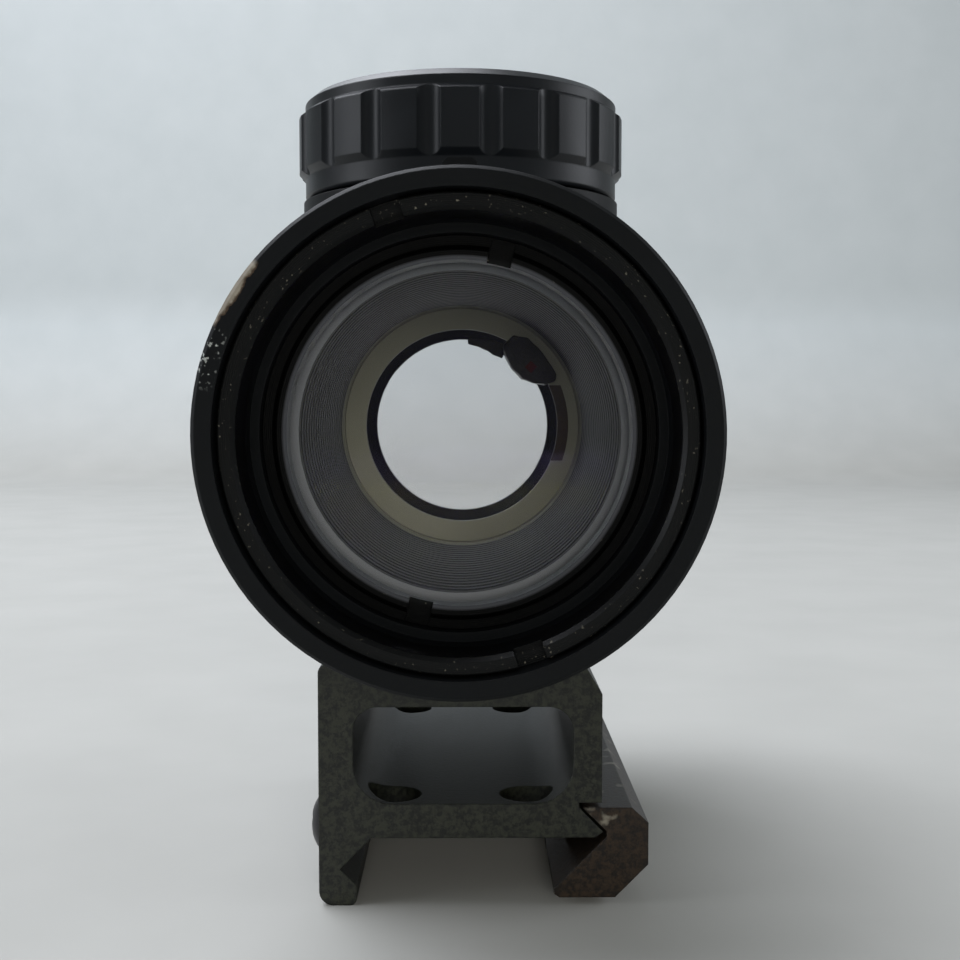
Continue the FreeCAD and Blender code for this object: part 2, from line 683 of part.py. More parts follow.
def adjuster_cap(name, turn):
    """Fluted dust cap screwed on the boss."""
    outer = d["boss_radius"]
    start = d["boss_reach"] - 1.45
    cap = turned(name, [
        (start, outer - 0.75), (start, outer), (d["boss_reach"] + 1.1, outer), (d["boss_reach"] + 1.5, outer - 0.4),
        (d["boss_reach"] + 1.5, 0), (d["boss_reach"] + 0.3, 0), (d["boss_reach"] + 0.3, outer - 0.75)],
        **adjuster_place(turn))
    flute = sketch_on(cap, "YZ_Plane", name + "_flute", start + 0.5)
    draw_circles(flute, [(outer + 0.45, 0)], 0.7)
    ring_of(cap, pocket(cap, flute, 4), 18)
    return cap


# ---------------------------------------------------------------- riser and rail clamp

def riser():
    """See-through riser: deck, two walls and ceiling in one extrusion, with the fixed hook at the left."""
    half, top = d["riser_half"], d["riser_top"]
    apex, bevel, foot = d["rail_half"], d["rail_bevel"], d["foot"]
    tip = 9.1
    body = extruded("riser", [
        (-half, -foot), (-half, top), (half - 1.6, top), (half, top - 2.7), (half, 3.1), (10.4, 3.1),
        (10.4, 2.65), (12.5, 0.5), (11.85, 0), (bevel - apex, 0), (-apex, -bevel),
        (-tip, tip - apex - bevel), (-tip, -foot)], d["riser_length"])
    rounded(body, [(-half, top)], 0.8)
    rounded(body, [(-half, -foot)], 1.3)
    rounded(body, [(-tip, -foot)], 0.6)
    left, right, low, high = -9.4, 9.9, d["deck"], 11.6
    window = sketch_on(body, "XZ_Plane", "riser_window")
    draw_outline(window, [(left, low), (right, low), (right, high), (left, high)])
    pocket(body, window, both=True)
    rounded(body, [(left, high), (right, high)], 2.2)
    rounded(body, [(left, low), (right, low)], 3.5)
    spots = [(across * d["screw_across"], along * d["screw_along"]) for along, across in CORNERS]
    drill(body, "access_hole", "XY_Plane", spots, 2.4, 5, -1)
    drill(body, "screw_hole", "XY_Plane", spots, 1.6, 20, 8)
    drill(body, "screw_counterbore", "XY_Plane", spots, 3, 5.6, 8)
    bolts = [(side * d["bolt_along"], -d["bolt_drop"]) for side in (-1, 1)]
    drill(body, "bolt_hole", "YZ_Plane", bolts, d["bolt_radius"] + 0.15, 10, -14)
    return body


def drill(body, name, role, spots, radius, depth, start):
    """Holes along a plane's normal, from start for depth."""
    sketch = sketch_on(body, role, name, start)
    draw_circles(sketch, spots, radius)
    return pocket(body, sketch, depth)


def mount_screws():
    """Four button-head screws from the riser's ceiling into the housing's base pad."""
    screws = []
    for i, (along, across) in enumerate(CORNERS):
        screw = turned("screw_form_%d" % i, [
            (11.9, 0), (11.9, 2), (12.3, 2.7), (13.6, 2.7), (13.6, 1.45), (18.6, 1.45), (18.6, 0)],
            across * d["screw_across"], along * d["screw_along"], 0, ALONG_Z)
        socket = sketch_on(screw, "YZ_Plane", "screw_socket_%d" % i, 11.9)
        draw_hexagon(socket, 1.15)
        pocket(screw, socket, 1.1)
        screws.append(screw)
    return joined("mount_screws", screws)


HEXAGON = [(1, 0), (0.5, 0.8660254), (-0.5, 0.8660254), (-1, 0), (-0.5, -0.8660254), (0.5, -0.8660254)]


def draw_hexagon(sketch, radius):
    draw_outline(sketch, [(x * radius, y * radius) for x, y in HEXAGON])


def rail_jaw():
    """Sliding jaw: a groove over the riser's nose above, the clamping slope below."""
    low = -d["jaw_foot"]
    body = extruded("rail_jaw", [
        (10.72, 2.65), (15.05, 2.65), (16.5, 1.3), (16.5, low + 2.93), (13.6, low), (8.7, low),
        (8.24, low + 0.3), (8.24, -4.55), (12.84, 0.05), (12.84, 0.53)], d["riser_length"])
    bolts = [(side * d["bolt_along"], -d["bolt_drop"]) for side in (-1, 1)]
    drill(body, "jaw_thread", "YZ_Plane", bolts, d["bolt_radius"] + d["run_gap"], 12, 6)
    return body


def cross_bolt(name, side):
    """Dome-headed cross bolt through the hook, across the rail slot and into the jaw."""
    half = d["riser_half"]
    head = doc.addObject("Part::Sphere", name + "_dome")
    bind(head, Radius=4.2)
    put(head, -half - 0.35 - 1.45 + 4.2, side * d["bolt_along"], -d["bolt_drop"])
    face = cylinder(name + "_face", 3.5, 1.45, -half - 0.35 - 1.45, side * d["bolt_along"],
                    -d["bolt_drop"], TO_X)
    dome = shared(name + "_head", [head, face])
    shank = cylinder(name + "_shank", d["bolt_radius"], half + 0.35 + 15.9, -half - 0.35,
                     side * d["bolt_along"], -d["bolt_drop"], TO_X)
    solid = joined(name + "_solid", [dome, shank])
    drive = doc.addObject("Part::Prism", name + "_drive")
    drive.Polygon = 6
    bind(drive, Circumradius=1.45, Height=1.1)
    put(drive, -half - 0.35 - 1.5, side * d["bolt_along"], -d["bolt_drop"], TO_X)
    return cut(name, solid, drive)


def bolt_washers():
    """Two thin washers between the cross bolts' heads and the hook's outer face."""
    half = d["riser_half"]
    return joined("bolt_washers", [washer("washer_%d" % i, half, side) for i, side in enumerate((-1, 1))])


def washer(name, half, side):
    return turned(name, [(-half - 0.3, 1.6), (-half - 0.3, 3.3), (-half, 3.3), (-half, 1.6)],
                  0, side * d["bolt_along"], -d["bolt_drop"], ALONG_X)


# ---------------------------------------------------------------- the whole finder

def build_all():
    return [
        housing(), front_lock_ring(), lens_retainer(), lens_seal(), objective_lens_front(),
        objective_lens_rear(), lens_spacer(), ocular_lens(), ocular_seal(), ocular_retainer(),
        pivot_ring(), inner_tube(), emitter_block(), led_die(), emitter_lead(), return_spring(),
        brightness_dial(), dial_seal(), dial_retaining_ring(), detent_ball(), detent_spring(),
        circuit_board(), battery_contact(), battery_cell(), battery_cap(), cap_seal(),
        adjuster("elevation_adjuster", ALONG_Z), adjuster_seal("elevation_seal", ALONG_Z),
        plunger("elevation_plunger", ALONG_Z), adjuster_cap("elevation_cap", ALONG_Z),
        adjuster("windage_adjuster", ALONG_X), adjuster_seal("windage_seal", ALONG_X),
        plunger("windage_plunger", ALONG_X), adjuster_cap("windage_cap", ALONG_X),
        riser(), mount_screws(), rail_jaw(), cross_bolt("front_cross_bolt", -1),
        cross_bolt("rear_cross_bolt", 1), bolt_washers()]


def check_and_write(nodes):
    """Stop on any failed object or bad shape, then write one file per sub-part."""
    doc.recompute()
    for item in doc.Objects:
        if "Invalid" in item.State or "Error" in item.State:
            raise RuntimeError("%s failed: %s" % (item.Label, item.State))
    for node in nodes:
        if node.Shape.isNull() or not node.Shape.isValid() or not node.Shape.Solids:
            raise RuntimeError("%s has no valid solid" % node.Label)
    os.makedirs("parts", exist_ok=True)
    for node in nodes:
        node.Shape.exportStep(os.path.join("parts", node.Label + ".step"))
        size = node.Shape.BoundBox
        print("%-22s %d solid  %8.1f mm3  x %.2f..%.2f  y %.2f..%.2f  z %.2f..%.2f" % (
            node.Label, len(node.Shape.Solids), node.Shape.Volume, size.XMin, size.XMax,
            size.YMin, size.YMax, size.ZMin, size.ZMax))


check_and_write(build_all())
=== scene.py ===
import math

import bmesh
import bpy
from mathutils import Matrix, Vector, noise


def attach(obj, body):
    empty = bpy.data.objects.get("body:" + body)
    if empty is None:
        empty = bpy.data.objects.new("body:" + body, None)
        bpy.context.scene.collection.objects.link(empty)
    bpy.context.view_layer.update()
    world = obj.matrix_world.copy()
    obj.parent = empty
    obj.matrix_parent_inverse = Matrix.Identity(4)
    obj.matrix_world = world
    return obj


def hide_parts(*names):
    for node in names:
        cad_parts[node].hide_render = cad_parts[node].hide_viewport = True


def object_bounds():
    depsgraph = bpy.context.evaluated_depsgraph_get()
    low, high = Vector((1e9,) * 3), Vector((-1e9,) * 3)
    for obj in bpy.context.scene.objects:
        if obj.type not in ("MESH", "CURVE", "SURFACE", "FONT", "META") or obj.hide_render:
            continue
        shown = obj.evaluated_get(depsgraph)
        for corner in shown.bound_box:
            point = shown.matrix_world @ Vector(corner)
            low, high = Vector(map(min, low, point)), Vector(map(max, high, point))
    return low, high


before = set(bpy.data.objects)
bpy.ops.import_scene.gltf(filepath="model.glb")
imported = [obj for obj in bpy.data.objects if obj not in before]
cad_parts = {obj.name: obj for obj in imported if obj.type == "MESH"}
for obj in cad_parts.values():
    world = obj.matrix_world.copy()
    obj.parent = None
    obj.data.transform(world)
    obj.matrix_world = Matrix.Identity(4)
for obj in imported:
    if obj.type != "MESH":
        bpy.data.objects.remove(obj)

cad_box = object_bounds()

# ------------------------------------------------------------------ stand, light and camera
# The finder stands on a matt pale painted board that sweeps up behind it, darker where it lies
# flat. One wide soft light hangs high at the left, and a weak one in front reaches into the tube.

MM = 0.001
EYE_MM = (0.6, -131.75, 37.7)
EYE_DOWN = math.radians(3.21)
EYE_RIGHT = math.radians(0.57)
LENS_MM = 48.75


def linear(code):
    """An sRGB hex colour as linear RGBA."""
    channels = [int(code[i:i + 2], 16) / 255 for i in (1, 3, 5)]
    return tuple(c / 12.92 if c <= 0.04045 else ((c + 0.055) / 1.055) ** 2.4 for c in channels) + (1.0,)


def add(tree, kind, inputs=None, **settings):
    """Add a shader node, or set the one given. An input is a value, a hex colour, or what feeds it."""
    node = tree.nodes.new("ShaderNode" + kind) if isinstance(kind, str) else kind
    for name, value in settings.items():
        setattr(node, name, value)
    for name, value in (inputs or {}).items():
        if isinstance(value, bpy.types.Node):
            value = value.outputs[0]
        if isinstance(value, str):
            value = linear(value)
        if isinstance(value, bpy.types.NodeSocket):
            tree.links.new(value, node.inputs[name])
        else:
            node.inputs[name].default_value = value
    return node


def new_material(name):
    """A material with its node tree and its Principled shader."""
    material = bpy.data.materials.new(name)
    material.use_nodes = True
    return material, material.node_tree, material.node_tree.nodes["Principled BSDF"]


def show(name, data):
    """Put a mesh, lamp or camera in the scene as an object of that name."""
    item = bpy.data.objects.new(name, data)
    bpy.context.scene.collection.objects.link(item)
    return item


def mesh_of(name, bm, material, sharp=35):
    """The finished mesh of a bmesh, smooth but for edges sharper than the given angle."""
    mesh = bpy.data.meshes.new(name)
    bm.to_mesh(mesh)
    bm.free()
    mesh.materials.append(material)
    mesh.shade_smooth()
    mesh.set_sharp_from_angle(angle=math.radians(sharp))
    return mesh


# Eggshell paint on board: a broad, nearly white diffuse surface with a faint mottle of wear.
board_paint, tree, shader = new_material("eggshell_board_paint")
spot = add(tree, "TexCoord").outputs["Object"]
mottle = add(tree, "TexNoise", {"Vector": spot, "Scale": 45, "Detail": 6})
flat_tone = add(tree, "MixRGB", {"Fac": mottle.outputs["Fac"], "Color1": linear("#9c9c98"),
                                 "Color2": linear("#a8a8a4")})
wall_tone = add(tree, "MixRGB", {"Fac": mottle.outputs["Fac"], "Color1": linear("#bac0c1"),
                                 "Color2": linear("#c4c9ca")})
level = add(tree, "SeparateXYZ", {0: spot}).outputs["Z"]
upright = add(tree, "MapRange", {"Value": level, 1: 0.0, 2: 0.09}).outputs[0]
tone = add(tree, "MixRGB", {"Fac": upright, "Color1": flat_tone.outputs[0], "Color2": wall_tone.outputs[0]})
add(tree, shader, {"Base Color": tone.outputs[0], "Roughness": 0.75})

BOARD_HALF = 1.6
BOARD_BACK = 0.6
BOARD_RISE = 0.12
foot = cad_box[0].z
bm = bmesh.new()
edge = bm.edges.new([bm.verts.new((x, -BOARD_HALF, foot)) for x in (-BOARD_HALF, BOARD_HALF)])
new = bmesh.ops.extrude_edge_only(bm, edges=[edge])["geom"]
far_verts = [v for v in new if isinstance(v, bmesh.types.BMVert)]
bmesh.ops.translate(bm, verts=far_verts, vec=(0, BOARD_HALF + BOARD_BACK, 0))
far_edge = [e for e in new if isinstance(e, bmesh.types.BMEdge) and set(e.verts) == set(far_verts)]
turn = bmesh.ops.spin(bm, geom=far_edge, cent=(0, BOARD_BACK, foot + BOARD_RISE), axis=(1, 0, 0),
                      angle=math.radians(90), steps=24, use_merge=False)["geom_last"]
wall = bmesh.ops.extrude_edge_only(bm, edges=[e for e in turn if isinstance(e, bmesh.types.BMEdge)])
wall_verts = [v for v in wall["geom"] if isinstance(v, bmesh.types.BMVert)]
bmesh.ops.translate(bm, verts=wall_verts, vec=(0, 0, 1.2))
bmesh.ops.recalc_face_normals(bm, faces=bm.faces)
show("board", mesh_of("board", bm, board_paint, sharp=180))

world = bpy.data.worlds.new("room")
bpy.context.scene.world = world
world.use_nodes = True
add(world.node_tree, world.node_tree.nodes["Background"], {"Color": linear("#cfd4d4"), "Strength": 0.36})

LIGHTS = {
    "window": ((-360, 250, 900), (0, 40, 30), (0.9, 0.7), 15.0, "#f4f7ff"),
    "room_front": ((55, -640, 75), (0, -20, 34), (0.3, 0.3), 3.1, "#fffaf0"),
    "room_left": ((-520, -120, 160), (0, 0, 30), (0.25, 0.3), 0.8, "#f4f8ff"),
    "room_right": ((560, 60, 260), (0, 0, 30), (0.35, 0.3), 1.2, "#f4f8ff"),
}
for name, (place, aim, size, power, tint) in LIGHTS.items():
    lamp = bpy.data.lights.new(name, "AREA")
    lamp.shape = "RECTANGLE"
    lamp.size, lamp.size_y = size
    lamp.energy = power
    lamp.color = linear(tint)[:3]
    item = show(name, lamp)
    # The front light is kept out of glossy reflections, so that the lenses don't mirror it.
    item.visible_glossy = name != "room_front"
    item.location = Vector(place) * MM
    item.rotation_euler = (Vector(aim) * MM - item.location).to_track_quat("-Z", "Y").to_euler()

camera = show("camera", bpy.data.cameras.new("camera"))
camera.location = Vector(EYE_MM) * MM
camera.rotation_euler = (math.radians(90) - EYE_DOWN, 0, -EYE_RIGHT)
camera.data.lens = LENS_MM
camera.data.sensor_width = 36
camera.data.clip_start = 0.005
camera.data.clip_end = 20
bpy.context.scene.camera = camera
bpy.context.scene.view_settings.view_transform = "Standard"

# ------------------------------------------------------------------ housing
# One turned and milled aluminium body: bell, tube, turret post and boss. Hard black anodising is
# matt, a little uneven, and worn through to primer and metal at one place on the rim of the bell.

TUBE_Z = 35.5 * MM
BELL_RADIUS = 20.3 * MM


def finish(node, material):
    """Give a node of the frame its finish."""
    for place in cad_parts[node].material_slots:
        place.material = material


def grain(tree, spot, size, depth, ease):
    """The normal of a fine random grain of that size and depth over edges eased to a small radius."""
    base = add(tree, "Bevel", {"Radius": ease}, samples=4)
    fine = add(tree, "TexNoise", {"Vector": spot, "Scale": 1 / size, "Detail": 3, "Roughness": 0.6})
    return add(tree, "Bump", {"Height": fine.outputs["Fac"], "Distance": depth, "Strength": 1.0,
                              "Normal": base}).outputs["Normal"]


def polar(tree, spot):
    """Radius and angle round the tube's axis, and the distance along it, as three sockets."""
    centred = add(tree, "VectorMath", {0: spot, 1: (0, 0, TUBE_Z)}, operation="SUBTRACT")
    flat = add(tree, "VectorMath", {0: centred.outputs[0], 1: (1, 0, 1)}, operation="MULTIPLY")
    radius = add(tree, "VectorMath", {0: flat.outputs[0]}, operation="LENGTH").outputs["Value"]
    parts = add(tree, "SeparateXYZ", {0: centred.outputs[0]}).outputs
    angle = add(tree, "Math", {0: parts["Z"], 1: parts["X"]}, operation="ARCTAN2").outputs[0]
    return radius, angle, parts["Y"]


def between(tree, value, low, high, soft):
    """1 where the value is between low and high, falling to 0 over soft at each end."""
    rise = add(tree, "MapRange", {"Value": value, 1: low - soft, 2: low + soft}).outputs[0]
    fall = add(tree, "MapRange", {"Value": value, 1: high - soft, 2: high + soft, 3: 1.0, 4: 0.0}).outputs[0]
    return add(tree, "Math", {0: rise, 1: fall}, operation="MULTIPLY").outputs[0]


# Hard black anodising on bead-blasted aluminium: a dull dielectric film, matt with a cool cast.
hard_anodised, tree, shader = new_material("hard_anodised_aluminium")
spot = add(tree, "TexCoord").outputs["Object"]
cloud = add(tree, "TexNoise", {"Vector": spot, "Scale": 110, "Detail": 5}).outputs["Fac"]
black = add(tree, "MixRGB", {0: cloud, 1: "#08090a", 2: "#0f1113"})
radius, angle, along = polar(tree, spot)
# The worn place: from 139 to 156 degrees round the rim, 0.5 to 1.2 mm wide, ragged at its edges,
# with bare metal outside and a darker brown edge of primer inside.
ragged = add(tree, "TexNoise", {"Vector": spot, "Scale": 1300, "Detail": 5}).outputs["Fac"]
wide = add(tree, "TexNoise", {"Vector": spot, "Scale": 330, "Detail": 1}).outputs["Fac"]
bite = add(tree, "Math", {0: ragged, 1: 0.0007}, operation="MULTIPLY")
swell = add(tree, "Math", {0: wide, 1: 0.0013}, operation="MULTIPLY")
reach = add(tree, "Math", {0: bite, 1: swell}, operation="ADD")
edge_gap = add(tree, "Math", {0: BELL_RADIUS, 1: radius}, operation="SUBTRACT")
spare = add(tree, "Math", {0: reach, 1: edge_gap}, operation="SUBTRACT")
inside = add(tree, "MapRange", {"Value": spare, 1: 0.00042, 2: 0.00045}).outputs[0]
deep = add(tree, "MapRange", {"Value": spare, 1: 0.00052, 2: 0.00066}).outputs[0]
sector = between(tree, angle, math.radians(139.5), math.radians(155.5), math.radians(0.6))
uneven = add(tree, "Math", {0: along, 1: add(tree, "Math", {0: ragged, 1: 0.0016}, operation="MULTIPLY")},
             operation="ADD")
front = add(tree, "MapRange", {"Value": uneven, 1: -0.03205, 2: -0.0322}).outputs[0]
worn = add(tree, "Math", {0: add(tree, "Math", {0: inside, 1: sector}, operation="MULTIPLY"), 1: front},
           operation="MULTIPLY")
bare = add(tree, "MixRGB", {0: ragged, 1: "#575149", 2: "#8f8a7f"})
metal = add(tree, "MixRGB", {0: deep, 1: "#3a3027", 2: bare})
# Small pale scuffs run on from the worn place down the rim.
specks = add(tree, "TexNoise", {"Vector": spot, "Scale": 2600, "Detail": 2}).outputs["Fac"]
speckle = add(tree, "MapRange", {"Value": specks, 1: 0.60, 2: 0.66}).outputs[0]
rim_band = between(tree, radius, 0.0190, 0.0206, 0.0003)
scuffed = between(tree, angle, math.radians(157), math.radians(168), math.radians(2))
dotted = add(tree, "Math", {0: speckle, 1: rim_band}, operation="MULTIPLY")
stretch = add(tree, "Math", {0: scuffed, 1: front}, operation="MULTIPLY")
scuff = add(tree, "Math", {0: dotted, 1: stretch}, operation="MULTIPLY")
painted = add(tree, "MixRGB", {0: scuff, 1: black, 2: "#8b8f8e"})
add(tree, shader, {"Base Color": add(tree, "MixRGB", {0: worn, 1: painted, 2: metal}),
                   "Roughness": add(tree, "MapRange", {"Value": cloud, 3: 0.42, 4: 0.56}).outputs[0],
                   "Specular IOR Level": 0.15,
                   "Normal": grain(tree, spot, 0.00022, 0.000012, 0.00018)})
finish("housing", hard_anodised)

# ------------------------------------------------------------------ rings of the tube
# Lock ring, lens retainers, spacer and pivot ring are turned from bar, then anodised. The tool
# leaves fine circular lines, and the film is glossier than on the blasted body.

turned_black, tree, shader = new_material("turned_anodised_rings")
spot = add(tree, "TexCoord").outputs["Object"]
radius, angle, along = polar(tree, spot)
cloud = add(tree, "TexNoise", {"Vector": spot, "Scale": 140, "Detail": 6}).outputs["Fac"]
lines = add(tree, "Math", {0: add(tree, "Math", {0: radius, 1: 2 * math.pi / 0.00016},
                                  operation="MULTIPLY")}, operation="SINE")
down_lines = add(tree, "Math", {0: add(tree, "Math", {0: along, 1: 2 * math.pi / 0.00018},
                                       operation="MULTIPLY")}, operation="SINE")
both = add(tree, "Math", {0: lines, 1: down_lines}, operation="ADD")
marks = add(tree, "Bump", {"Height": both, "Distance": 0.0000035,
                           "Normal": add(tree, "Bevel", {"Radius": 0.0001}, samples=4)})
dust = add(tree, "TexNoise", {"Vector": spot, "Scale": 3200, "Detail": 3}).outputs["Fac"]
dusty = add(tree, "MapRange", {"Value": dust, 1: 0.66, 2: 0.74}).outputs[0]
colour = add(tree, "MixRGB", {0: cloud, 1: "#070808", 2: "#0e0f10"})
# Deep in the mouth the rings are painted nearly black, as shade in the recess, and the inner edge
# of the retainer is painted grey, as a highlight.
shaded_mouth = add(tree, "Math", {0: between(tree, along, -0.0325, -0.0228, 0.0003),
                           1: between(tree, radius, 0.0145, 0.0176, 0.00015)}, operation="MULTIPLY")
lip_highlight = add(tree, "Math", {0: between(tree, along, -0.0254, -0.0248, 0.0002),
                         1: between(tree, radius, 0.0140, 0.0145, 0.0001)}, operation="MULTIPLY")
colour = add(tree, "MixRGB", {0: dusty, 1: colour, 2: "#5c5a52"})
colour = add(tree, "MixRGB", {0: shaded_mouth, 1: colour, 2: "#020202"})
colour = add(tree, "MixRGB", {0: lip_highlight, 1: colour, 2: "#3e4045"})
add(tree, shader, {"Base Color": colour, "Specular IOR Level": 0.16,
                   "Roughness": add(tree, "MapRange", {"Value": cloud, 3: 0.3, 4: 0.45}).outputs[0],
                   "Normal": marks.outputs["Normal"]})
for node in ("front_lock_ring", "lens_retainer", "lens_spacer", "ocular_retainer", "pivot_ring"):
    finish(node, turned_black)

# ------------------------------------------------------------------ glass
# The objective is two elements cemented together and the eyepiece is a single weak one, all
# coated: nearly clear, with a faint mirror that the coating turns violet or olive.


def coated_glass(name, clear, mirror, share):
    """Polished glass with a thin coating: mostly clear, and a faint tinted mirror."""
    material, tree, shader = new_material(name)
    see = add(tree, "BsdfTransparent", {"Color": linear(clear)})
    gloss = add(tree, "BsdfGlossy", {"Color": linear(mirror), "Roughness": 0.03})
    slope = add(tree, "LayerWeight", {"Blend": 0.25}).outputs["Fresnel"]
    amount = add(tree, "MapRange", {"Value": slope, 3: share, 4: 0.6}).outputs[0]
    mixed = add(tree, "MixShader", {0: amount, 1: see.outputs[0], 2: gloss.outputs[0]})
    tree.links.new(mixed.outputs[0], tree.nodes["Material Output"].inputs["Surface"])
    tree.nodes.remove(shader)
    return material


def spun_lens(name, front, back, rim, material, replaced):
    """A lens spun from its two faces, each given as the radius of curvature and where it peaks."""
    line = []
    for (curve, peak), way in ((front, 1), (back, -1)):
        face = []
        for i in range(25):
            out = rim * i / 24
            sag = 0 if curve == 0 else curve - math.copysign(math.sqrt(curve ** 2 - out ** 2), curve)
            face.append((out, peak + sag))
        line += face[::way]
    bm = bmesh.new()
    verts = [bm.verts.new((out * MM, (BELL_FRONT + depth) * MM, TUBE_Z)) for out, depth in line]
    edges = [bm.edges.new(pair) for pair in zip(verts, verts[1:])]
    bmesh.ops.spin(bm, geom=verts + edges, cent=(0, 0, TUBE_Z), axis=(0, 1, 0), angle=math.radians(360),
                   steps=96, use_merge=True)
    bmesh.ops.remove_doubles(bm, verts=bm.verts, dist=1e-7)
    bmesh.ops.recalc_face_normals(bm, faces=bm.faces)
    piece = show(name, mesh_of(name, bm, material))
    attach(piece, "finder")
    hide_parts(replaced)


# The cemented faces are kept 0.02 mm apart so that each shows its own faint mirror.
BELL_FRONT = -33.75
spun_lens("crown_lens", (120, 10.25), (-200, 12.84), 15.9,
          coated_glass("violet_coated_glass", "#fafafe", "#8f86c8", 0.012), "objective_lens_front")
spun_lens("flint_lens", (-200, 12.86), (0, 13.69), 15.9,
          coated_glass("olive_coated_glass", "#fdfdf8", "#a9ab62", 0.012), "objective_lens_rear")
finish("ocular_lens", coated_glass("clear_coated_glass", "#fcfcfd", "#7f8fb8", 0.012))

# ------------------------------------------------------------------ rubber seals
# O-rings and flat seals of nitrile rubber: soft black, slightly greasy and never shiny.

nitrile, tree, shader = new_material("moulded_nitrile_rubber")
spot = add(tree, "TexCoord").outputs["Object"]
bloom = add(tree, "TexNoise", {"Vector": spot, "Scale": 900, "Detail": 5}).outputs["Fac"]
add(tree, shader, {"Base Color": add(tree, "MixRGB", {0: bloom, 1: "#0b0b0b", 2: "#1d1d1c"}),
                   "Roughness": 0.62, "Normal": grain(tree, spot, 0.00015, 0.000006, 0.00008)})
for node in ("lens_seal", "ocular_seal", "dial_seal", "cap_seal", "elevation_seal", "windage_seal"):
    finish(node, nitrile)

# ------------------------------------------------------------------ inner tube
# The optic tube that tilts inside the housing. Its bore is cut with fine ring grooves and dyed
# a matt dark grey to kill glare, and the grooves show as thin concentric lines, by their bump and by
# shade painted dark into each groove.

matt_bore, tree, shader = new_material("grooved_matt_bore")
spot = add(tree, "TexCoord").outputs["Object"]
radius, angle, along = polar(tree, spot)
cloud = add(tree, "TexNoise", {"Vector": spot, "Scale": 120, "Detail": 5}).outputs["Fac"]
# Real anti-glare grooves are about 0.5 mm apart; these are 0.95 mm apart so that they show.
swing = add(tree, "Math", {0: along, 1: 2 * math.pi / 0.00095}, operation="MULTIPLY")
wave = add(tree, "Math", {0: swing}, operation="SINE")
lined = add(tree, "Bump", {"Height": wave, "Distance": 0.00004,
                           "Normal": add(tree, "Bevel", {"Radius": 0.00004}, samples=4)})
# The end wall is painted lighter, as the light that reaches it, and the front edge is painted pale
# grey-blue, as a highlight ring.
lit_end_wall_mask = add(tree, "MapRange", {"Value": along, 1: 0.0195, 2: 0.0205}).outputs[0]
front_highlight = add(tree, "MapRange", {"Value": along, 1: -0.01905, 2: -0.01915}).outputs[0]
# Painted shade: each groove is coloured darker than its crest.
groove_shade = add(tree, "MapRange", {"Value": wave, 1: -0.2, 2: 0.9}).outputs[0]
crest = add(tree, "MixRGB", {0: cloud, 1: "#4c4d4a", 2: "#5a5b56"})
shaded_ridges = add(tree, "MixRGB", {0: groove_shade, 1: crest, 2: "#1c1c1b"})
wall = add(tree, "MixRGB", {0: cloud, 1: "#8a8b7e", 2: "#9a9b8e"})
shaded_bore = add(tree, "MixRGB", {0: lit_end_wall_mask, 1: shaded_ridges, 2: wall})
add(tree, shader, {"Base Color": add(tree, "MixRGB", {0: front_highlight, 1: shaded_bore, 2: "#8d9199"}), "Roughness": 0.5,
                   "Normal": lined.outputs["Normal"]})
finish("inner_tube", matt_bore)

# ------------------------------------------------------------------ emitter
# A lump of black potting resin cast on the rim of the tube, with the light source on its face and a
# flat polyimide lead that runs down to the circuit board.

potting, tree, shader = new_material("black_potting_resin")
spot = add(tree, "TexCoord").outputs["Object"]
lump = add(tree, "TexNoise", {"Vector": spot, "Scale": 700, "Detail": 4}).outputs["Fac"]
add(tree, shader, {"Base Color": add(tree, "MixRGB", {0: lump, 1: "#050502", 2: "#121106"}),
                   "Roughness": 0.4,
                   "Normal": grain(tree, spot, 0.0005, 0.00006, 0.00015)})


def set_piece(name, corners, front, deep, ragged):
    """A lump of set resin: an outline given in x and z, raised backwards, eased and made uneven."""
    bm = bmesh.new()
    face = bm.faces.new([bm.verts.new((x * MM, front * MM, z * MM)) for x, z in corners])
    raised = bmesh.ops.extrude_face_region(bm, geom=[face])["geom"]
    bmesh.ops.translate(bm, verts=[v for v in raised if isinstance(v, bmesh.types.BMVert)],
                        vec=(0, deep * MM, 0))
    bmesh.ops.recalc_face_normals(bm, faces=bm.faces)
    bmesh.ops.bevel(bm, geom=bm.edges[:], affect="EDGES", offset=0.16 * MM, segments=2, profile=0.5,
                    material=-1)
    bmesh.ops.triangulate(bm, faces=bm.faces)
    bmesh.ops.subdivide_edges(bm, edges=bm.edges, cuts=2, use_grid_fill=True)
    for vert in bm.verts:
        vert.co += noise.noise_vector(vert.co * 900) * ragged * MM
    bmesh.ops.recalc_face_normals(bm, faces=bm.faces)
    piece = show(name, mesh_of(name, bm, potting, sharp=24))
    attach(piece, "inner_tube")
    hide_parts("emitter_block")


set_piece("emitter_resin_block", [
    (4.9, 45.0), (6.0, 46.1), (7.7, 45.7), (9.6, 43.9), (11.1, 41.4), (10.9, 40.7), (9.7, 40.3),
    (8.3, 40.6), (7.1, 41.0), (5.8, 42.3), (4.9, 44.2)], 20.4, 3.9, 0.16)
# A run of the same resin that crept along the rim to the left of the block before it set.
creep = []
for degrees, out in ((60, 10.9), (68, 10.8), (76, 10.6), (86, 10.3), (86, 9.7), (78, 9.55), (72, 9.35),
                     (66, 9.2), (59, 9.3)):
    around = math.radians(degrees)
    creep.append((out * math.cos(around), TUBE_Z / MM + out * math.sin(around)))
set_piece("emitter_resin_run", creep, 23.0, 0.9, 0.1)

led, tree, shader = new_material("red_led_window")
spot = add(tree, "TexCoord").outputs["Object"]
tint = add(tree, "TexNoise", {"Vector": spot, "Scale": 1500}).outputs["Fac"]
add(tree, shader, {"Base Color": add(tree, "MixRGB", {0: tint, 1: "#3a100c", 2: "#5a1a12"}),
                   "Roughness": 0.12})
finish("led_die", led)

